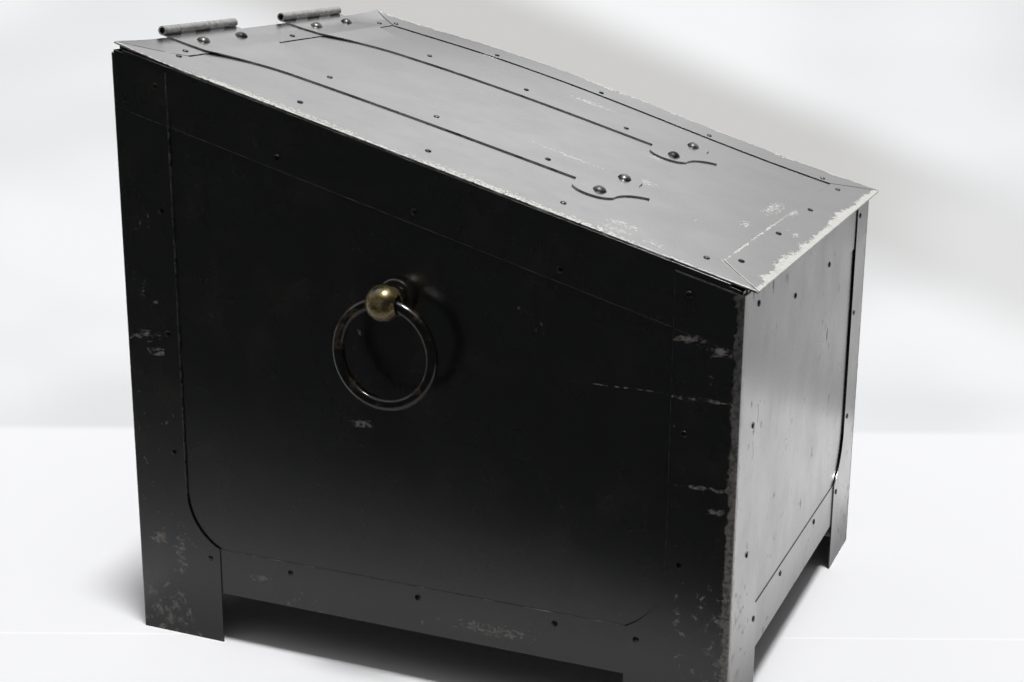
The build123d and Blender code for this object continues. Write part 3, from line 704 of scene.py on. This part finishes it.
def cut_by_planes(shape):
    """Cuts a lid piece across and along, every 20 mm, so that it can bend."""
    planes = [(LID_ORIGIN + LID_ALONG * (s * MM), LID_ALONG) for s in range(20, 460, 20)]
    planes += [(Vector((x * MM, 0, 0)), Vector((1, 0, 0))) for x in range(-180, 190, 20)]
    for middle, across in planes:
        bmesh.ops.bisect_plane(
            shape, geom=shape.verts[:] + shape.edges[:] + shape.faces[:], dist=0.000001,
            plane_co=middle, plane_no=across,
        )


def bow(shape):
    """Lifts every vertex of a lid piece by the rise at its place."""
    for vert in shape.verts:
        s = (vert.co - LID_ORIGIN).dot(LID_ALONG) / MM
        vert.co += LID_UP * (lid_rise(vert.co.x / MM, s) * MM)


print("lid rises at most", BOW, "mm")

# %% [markdown]
# The walls of the box are panels with a rail along their top and foot and a bent post on every
# corner. They all wear the same enamel.
# %% Walls of the box
SIDES = ("left", "right", "front", "back")
CORNERS = ("front_left", "front_right", "back_left", "back_right")
for side in SIDES:
    finish_sheet(side + "_panel", sheet_enamel, "box", 0.2)
    finish_sheet(side + "_top_rail", sheet_enamel, "box", 0.2)
    finish_sheet(side + "_bottom_rail", sheet_enamel, "box", 0.25)
for corner in CORNERS:
    finish_sheet(corner + "_post", sheet_enamel, "box", 0.35)
finish_sheet("floor_pan", inside_enamel, "box", 0.3)

# %% [markdown]
# The lid is one sheet under four mitred binding strips. The straps of the hinges lie over both, and
# step down where they leave the back binding. Their cut sides get some of the pale iron of the
# rounded edges: partly rubbed, and partly painted light that lightens sides which face the dark
# room.
# %% Lid and hinges
finish_sheet("lid_sheet", lid_enamel, "lid", 0.2)
for side in SIDES:
    round_mm = 0.1 if side == "right" else 0.3      # the right binding kept its crisp inner edge
    finish_sheet("lid_" + side + "_binding", lid_enamel, "lid", round_mm)
for side in ("left", "right"):
    finish_sheet(side + "_hinge_strap", strap_enamel, "lid", 0.45, 0.8)
    finish_sheet(side + "_hinge_leaf", strap_enamel, "box", 0.35)

# %% [markdown]
# ## Rivets
# Each rivet node of the CAD part is many small solids in one mesh. Walking from vertex to vertex
# over the edges finds them one by one, and the lowest points of a head give its seat.
# %% Rivet places
def islands(shape):
    """The separate solids of a mesh, as lists of vertices."""
    left = set(shape.verts)
    found = []
    while left:
        start = left.pop()
        group, edge_of = [start], [start]
        while edge_of:
            vert = edge_of.pop()
            for edge in vert.link_edges:
                other = edge.other_vert(vert)
                if other in left:
                    left.remove(other)
                    group.append(other)
                    edge_of.append(other)
        found.append(group)
    return found


def seat_of(group, outward):
    """The middle of a head's seat: its lowest point along outward, on its axis."""
    low = min(v.co.dot(outward) for v in group)
    seat = [v.co for v in group if v.co.dot(outward) < low + 0.05 * MM]
    return sum(seat, Vector()) / len(seat)


def outward_of(group, body):
    """Which way a rivet faces: straight up off the lid, or out of the wall that it sits on."""
    if body == "lid":
        return LID_UP
    middle = sum((v.co for v in group), Vector()) / len(group)
    sideways = HALF_WIDTH * MM - abs(middle.x)
    front, back = middle.y - FRONT * MM, BACK * MM - middle.y
    if sideways < min(front, back):
        return Vector((1 if middle.x > 0 else -1, 0, 0))
    return Vector((0, -1 if front < back else 1, 0))


print("rivets face out of the walls, and out of the lid along", tuple(round(v, 3) for v in LID_UP))

# %% [markdown]
# A small rivet's head is a low dome with a soft rim. One dome is spun from a short profile, and a
# copy is set wherever the CAD node has a head, turned to the sheet that it holds. A spin gives a
# rounder head than the CAD mesh has, with few faces.
# %% Small rivets
# radius and height of the head's profile in millimetres, from the rim inwards
SMALL_HEAD = [(2.1, 0.0), (2.1, 0.25), (1.85, 0.55), (1.35, 0.75), (0.7, 0.86), (0.0, 0.9)]


def spun_dome(profile, steps=20):
    """A head spun about Z from its profile, with its seat on the XY plane."""
    dome = bmesh.new()
    points = [dome.verts.new((r * MM, 0, z * MM)) for r, z in profile]
    line = [dome.edges.new(pair) for pair in zip(points, points[1:])]
    bmesh.ops.spin(
        dome, geom=points + line, cent=(0, 0, 0), axis=(0, 0, 1), angle=2 * pi,
        steps=steps, use_merge=True,
    )
    bmesh.ops.remove_doubles(dome, verts=dome.verts, dist=0.000001)
    bmesh.ops.holes_fill(dome, edges=[e for e in dome.edges if e.is_boundary], sides=0)
    bmesh.ops.recalc_face_normals(dome, faces=dome.faces)
    return dome


def set_heads(node, name, body):
    """Sets a spun head at every head of a CAD node."""
    source = merged_copy(node)
    template = bpy.data.meshes.new("head")
    dome = spun_dome(SMALL_HEAD)
    dome.to_mesh(template)
    dome.free()
    heads = bmesh.new()
    groups = islands(source)
    for group in groups:
        outward = outward_of(group, body)
        first = len(heads.verts)
        heads.from_mesh(template)
        heads.verts.ensure_lookup_table()
        turn_to = Vector((0, 0, 1)).rotation_difference(outward).to_matrix().to_4x4()
        place = Matrix.Translation(seat_of(group, outward)) @ turn_to
        bmesh.ops.transform(heads, matrix=place, verts=heads.verts[first:])
    source.free()
    bpy.data.meshes.remove(template)
    if body == "lid":
        bow(heads)
    add_piece(name, heads, small_rivet_iron, body, [node])
    print(name, "heads:", len(groups))


set_heads("post_rivets", "post_rivet_heads", "box")
set_heads("rail_rivets", "rail_rivet_heads", "box")
set_heads("lid_binding_rivets", "lid_binding_rivet_heads", "lid")
set_heads("strap_small_rivets", "strap_rivet_heads", "lid")

# %% [markdown]
# The large rivets, pins, washers, bosses and rings have the right shape already. Their copies
# are only merged and shaded smooth, so that the facets of the CAD mesh don't show.
# %% Smooth metal parts
def smooth_copy(node, material, body):
    """A merged, smooth-shaded copy of a CAD node."""
    shape = merged_copy(node)
    if body == "lid":
        bow(shape)
    piece = add_piece(node + "_finished", shape, material, body, [node])
    print(piece.name, "faces:", len(piece.data.polygons))


smooth_copy("strap_large_rivets", large_rivet_iron, "lid")
smooth_copy("hinge_leaf_rivets", large_rivet_iron, "box")
for side in ("left", "right"):
    smooth_copy(side + "_hinge_pin", pin_steel, "box")
    smooth_copy(side + "_handle_washer", pin_steel, "box")
    smooth_copy(side + "_handle_boss", boss_brass, "box")
    smooth_copy(side + "_handle_ring", ring_lacquer, side + "_ring")

# %% [markdown]
# ## The studio
# A black mirror shows whatever stands round it, so most of this box's looks are its surroundings.
# It stands on flat pale paper, with a soft line painted across it and the paper beyond painted
# greyer, as the shade of paper that turns up, and with a dark room in front of it. Mirror rays see
# the paper and the room as soft patches, a painted reflection with painted shade round and under
# the box; all other rays see matt paper. Its lines and fold shading are painted light and shade,
# fixed on the floor, but they were laid out from where the camera stands, so they look right from
# there only. A plainer floor would suit every view.
# %% Floor
AWAY = Vector((0.91997, 0.39197))      # the camera's level direction: the paper runs back along it
FAN_X, FAN_Y = VIEWPOINT[:2]           # the point under the camera: the folds fan out from it
# the soft line is painted, with painted shade beyond it where paper would turn up; the crease
# carries a painted highlight
PAPER_TURNS = 1.52                     # distances from there, along AWAY: to the soft line,
HIGHLIGHTED_CREASE = 1.052                         # and to a fine bright crease
TURN_SOFTNESS = 0.012


def make_floor():
    """A large pale floor."""
    shape = bmesh.new()
    bmesh.ops.create_grid(shape, x_segments=1, y_segments=1, size=30.0)
    mesh = bpy.data.meshes.new("floor")
    shape.to_mesh(mesh)
    shape.free()
    floor = bpy.data.objects.new("floor", mesh)
    bpy.context.scene.collection.objects.link(floor)
    return floor


def fanned_out(tree, x, y):
    """A place on the floor by its distance and bearing from under the camera, and nearness."""
    from_x = add(tree, "Math.ADD", x, -FAN_X)
    from_y = add(tree, "Math.ADD", y, -FAN_Y)
    away = add(tree, "Math.MULTIPLY", from_x, AWAY.x)
    away = add(tree, "Math.MULTIPLY_ADD", from_y, AWAY.y, away)
    sideways = add(tree, "Math.MULTIPLY", from_x, AWAY.y)
    sideways = add(tree, "Math.SUBTRACT", sideways, add(tree, "Math.MULTIPLY", from_y, AWAY.x))
    bearing = add(tree, "Math.MULTIPLY", add(tree, "Math.DIVIDE", sideways, away), 4.2)
    return away, bearing, add(tree, "Math.DIVIDE", 6.2, away)


def dimmed(tree, level, mask, share):
    """A level brought down by a share of itself where the mask is 1."""
    return add(tree, "Math.MULTIPLY", level, add(tree, "Math.MULTIPLY_ADD", mask, -share, 1.0))


print("floor laid out from under the camera,", (FAN_X, FAN_Y), "along", tuple(AWAY))

# %% [markdown]
# The paper is plain and diffuse. Its near part is nearly white, with a painted highlight along one
# fine crease. Beyond the soft line it is painted a little greyer, as shade, with broad fold lines
# painted in light and shade, and a painted band of shade slants across them. In the box's mirror
# its brightness is a painted reflection set by place: dark beyond its left edge, and painted shade
# round the box's foot and under it.
# %% Paper
def paper_colour(tree, away, bearing, nearness, fold_shading, beyond):
    """The colour of the paper, as everything but a mirror sees it: painted greyer beyond the soft
    line, with painted fold shading, a painted band of shade and a painted highlight on the crease.
    """
    # a painted highlight along the crease: pure white in the near paper
    crease = on_line(tree, away, HIGHLIGHTED_CREASE / MM, 1.5)
    near_paper = add(tree, "Mix.RGBA", {0: crease, 6: linear("f8f8fa"), 7: linear("ffffff")}, out=2)
    # broad fold lines painted in light and shade on the far paper
    lit_fold_mask = add(tree, SOFT_STEP, fold_shading, 0.28, 0.7)
    shaded_far_paper = add(
        tree, "Mix.RGBA", {0: lit_fold_mask, 6: linear("e2e3e5"), 7: linear("f4f5f6")}, out=2
    )
    # a band of painted shade slanting across the far paper
    off_shade_band = add(tree, "Math.MULTIPLY_ADD", bearing, 1.15, 0.88)
    off_shade_band = add(tree, "Math.SUBTRACT", nearness, off_shade_band)
    painted_shade_band = add(tree, SOFT_STEP, off_shade_band, -0.5, -0.05)
    painted_shade_band = add(tree, "Math.MULTIPLY", painted_shade_band, add(tree, SOFT_STEP, off_shade_band, 0.95, 0.4))
    painted_shade_band = dimmed(tree, painted_shade_band, add(tree, SOFT_STEP, bearing, 0.8, 1.3), 0.5)
    shaded_far_paper = add(tree, "Mix.RGBA", {0: painted_shade_band, 6: shaded_far_paper, 7: linear("cccbca")}, out=2)
    return add(tree, "Mix.RGBA", {0: beyond, 6: near_paper, 7: shaded_far_paper}, out=2)


def painted_shade_on_paper(tree, x, y):
    """A painted shade for the paper in mirrors: darker round the box's foot, nearly black under it.
    """
    outside_x = add(tree, "Math.SUBTRACT", add(tree, "Math.ABSOLUTE", x), HALF_WIDTH * MM)
    outside_y = add(tree, "Math.SUBTRACT", from_mid_depth(tree, y), HALF_DEPTH * MM)
    outside = add(tree, "Math.MAXIMUM", outside_x, outside_y)
    beside = add(tree, SOFT_STEP, outside_x, 0.0, 0.14)
    before = add(tree, SOFT_STEP, outside_y, 0.0, 0.05)
    open_air = add(tree, "Math.MULTIPLY_ADD", add(tree, "Math.MAXIMUM", beside, before), 0.6, 0.4)
    return add(tree, "Mix", {0: add(tree, SOFT_STEP, outside, -0.02, 0.0), 2: 0.03, 3: open_air})


def painted_paper_reflection(tree, x, y, fold_shading, beyond):
    """The paper as a mirror sees it, a painted reflection: fading to the left, dark beyond its
    edge, and with painted shade round the box.
    """
    left_edge = add(tree, "Math.MULTIPLY_ADD", add(tree, "Math.ADD", y, 0.095), 0.372, x)
    on_paper = add(tree, SOFT_STEP, left_edge, -0.43, -0.36)
    shade = add(tree, SOFT_STEP, x, -0.55, 0.0)
    near_tone = add(tree, "Math.MULTIPLY_ADD", add(tree, "Math.POWER", shade, 1.3), 0.88, 0.11)
    far_tone = add(tree, "Math.MULTIPLY_ADD", add(tree, SOFT_STEP, fold_shading, 0.3, 0.7), 0.35, 0.3)
    tone = add(tree, "Mix", {0: beyond, 2: near_tone, 3: far_tone})
    tone = add(tree, "Mix", {0: on_paper, 2: 0.03, 3: tone})
    return add(tree, "Math.MULTIPLY", tone, painted_shade_on_paper(tree, x, y))


def seen_in_mirror(tree):
    """1 for a ray that a glossy or a clear surface has sent on."""
    path = add(tree, "LightPath", out=None)
    return add(tree, "Math.MAXIMUM", path["Is Glossy Ray"], path["Is Transmission Ray"])


def floor_material():
    """Matt white studio paper, with painted shade and fold shading, and a painted reflection for
    mirror rays. To the eye: an even pale ground with soft fold lines.
    """
    material = bpy.data.materials.new("studio_paper")
    tree = fresh_tree(material)
    x, y, _ = add(tree, "SeparateXYZ", place_of(tree), out=None)
    away, bearing, nearness = fanned_out(tree, x, y)
    beyond = add(tree, SOFT_STEP, away, PAPER_TURNS - TURN_SOFTNESS, PAPER_TURNS + TURN_SOFTNESS)
    spread = add(tree, "CombineXYZ", bearing, nearness, 0.37)
    fold_shading = add(tree, "TexNoise", spread, Scale=1.0, Detail=1.0)
    paper = paper_colour(tree, away, bearing, nearness, fold_shading, beyond)
    matt = add(tree, "BsdfDiffuse", Color=paper)
    tone = painted_paper_reflection(tree, x, y, fold_shading, beyond)
    # the paper glows for mirror rays only: a painted reflection, not a lamp
    painted_reflection = add(tree, "Emission", Color=linear("ffffff"), Strength=tone)
    surface = add(tree, "MixShader", seen_in_mirror(tree), matt, painted_reflection)
    add(tree, "OutputMaterial", surface, out=None)
    return material


floor = make_floor()
floor.data.materials.append(floor_material())
print("floor:", floor.name)

# %% [markdown]
# The world is nearly white to the camera. To a mirror it is a cloudy white room, lit on the side
# that the camera looks to and dark behind the camera, with a soft light in its ceiling and a few
# duller places, set to suit this view. To a matt surface it is a plain light, strongest overhead.
# %% World
def room_in_mirror(tree, direction):
    """The brightness of the room in each direction, as a mirror sees it."""
    dx, dy, dz = add(tree, "SeparateXYZ", direction, out=None)
    toward = add(tree, "Math.MULTIPLY_ADD", dy, AWAY.y, add(tree, "Math.MULTIPLY", dx, AWAY.x))
    lit_side = add(tree, SOFT_STEP, toward, -0.25, 0.15)
    mist = add(tree, "TexNoise", direction, Scale=3.0, Detail=1.5)
    cloudy = add(tree, "Math.MULTIPLY_ADD", add(tree, SOFT_STEP, mist, 0.3, 0.7), 0.2, 0.8)
    rise = add(tree, "Math.MULTIPLY_ADD", add(tree, SOFT_STEP, dz, 0.14, 0.34), 0.72, 0.47)
    cloudy = add(tree, "Math.MULTIPLY", cloudy, rise)
    # duller beyond the far left of the paper, and in two patches: low there and low at its front
    far_left = add(tree, "Math.MULTIPLY_ADD", dz, -0.9, dy)
    cloudy = dimmed(tree, cloudy, add(tree, SOFT_STEP, far_left, -0.114, 0.056), 0.46)
    low_left = add(tree, SOFT_STEP, dy, 0.2, 0.28)
    low_left = add(tree, "Math.MULTIPLY", low_left, add(tree, SOFT_STEP, dz, 0.345, 0.3))
    cloudy = dimmed(tree, cloudy, low_left, 0.4)
    low_front = add(tree, SOFT_STEP, dy, 0.12, 0.09)
    low_front = add(tree, "Math.MULTIPLY", low_front, add(tree, SOFT_STEP, dz, 0.266, 0.286))
    cloudy = dimmed(tree, cloudy, low_front, 0.24)
    room = add(tree, "Mix", {0: lit_side, 2: 0.02, 3: cloudy})
    # a broad soft light overhead, which rims every rounded edge
    ceiling = add(tree, "Math.MULTIPLY", add(tree, SOFT_STEP, dz, 0.74, 0.9), 0.5)
    return add(tree, "Math.MAXIMUM", room, ceiling)


world = bpy.data.worlds.new("studio")
bpy.context.scene.world = world
tree = fresh_tree(world)
direction = add(tree, "TexCoord", out="Generated")
overhead = add(tree, SOFT_STEP, add(tree, "SeparateXYZ", direction, out=None)[2], 0.4, 0.97)
overhead = add(tree, "Math.MULTIPLY_ADD", overhead, 0.45, 0.03)
level = add(tree, "Mix", {0: seen_in_mirror(tree), 2: overhead, 3: room_in_mirror(tree, direction)})
to_camera = add(tree, "LightPath", out="Is Camera Ray")
level = add(tree, "Mix", {0: to_camera, 2: level, 3: 0.86})
sky = add(tree, "Background", Color=linear("ffffff"), Strength=level)
add(tree, "OutputWorld", sky, out=None)
print("world:", world.name)

# %% [markdown]
# A sun with a wide disc stands for the big soft light overhead. It lights everything evenly, so
# that white paper renders white, and it leaves a short, soft edge on the shadow under the box. A
# second, wide light stands behind and above the box. Only glossy surfaces see it: the paper stays
# as it is, and the satin enamel of the lid catches it at a low angle and turns to silver.
# %% Lamps
def place_lamp(name, kind, energy, matrix):
    """Adds a lamp of a kind with its power and its place."""
    data = bpy.data.lights.new(name, kind)
    data.energy = energy
    lamp = bpy.data.objects.new(name, data)
    lamp.matrix_world = matrix
    bpy.context.scene.collection.objects.link(lamp)
    print("lamp:", name, energy)
    return data


overhead_turn = Euler((radians(9), radians(-7), 0)).to_matrix().to_4x4()
overhead_light = place_lamp("overhead_light", "SUN", 2.4, overhead_turn)
overhead_light.angle = radians(10)
LID_MIDDLE = Vector((0.0, 0.0, 0.36))
BEARING, ELEVATION = radians(3), radians(35)     # of the back light, as the lid's middle sees it
BACK_LIGHT_DISTANCE = 2.2
outward = Vector((cos(BEARING), sin(BEARING), 0.0)) * cos(ELEVATION)
behind = outward + Vector((0, 0, sin(ELEVATION)))
aim = behind.to_track_quat("Z", "Y").to_matrix().to_4x4()
stand = Matrix.Translation(LID_MIDDLE + behind * BACK_LIGHT_DISTANCE) @ aim
back_light = place_lamp("back_light", "AREA", 5.4, stand)
back_light.shape = "RECTANGLE"
back_light.size = 2.6
back_light.size_y = 1.3
bpy.data.objects["back_light"].visible_diffuse = False
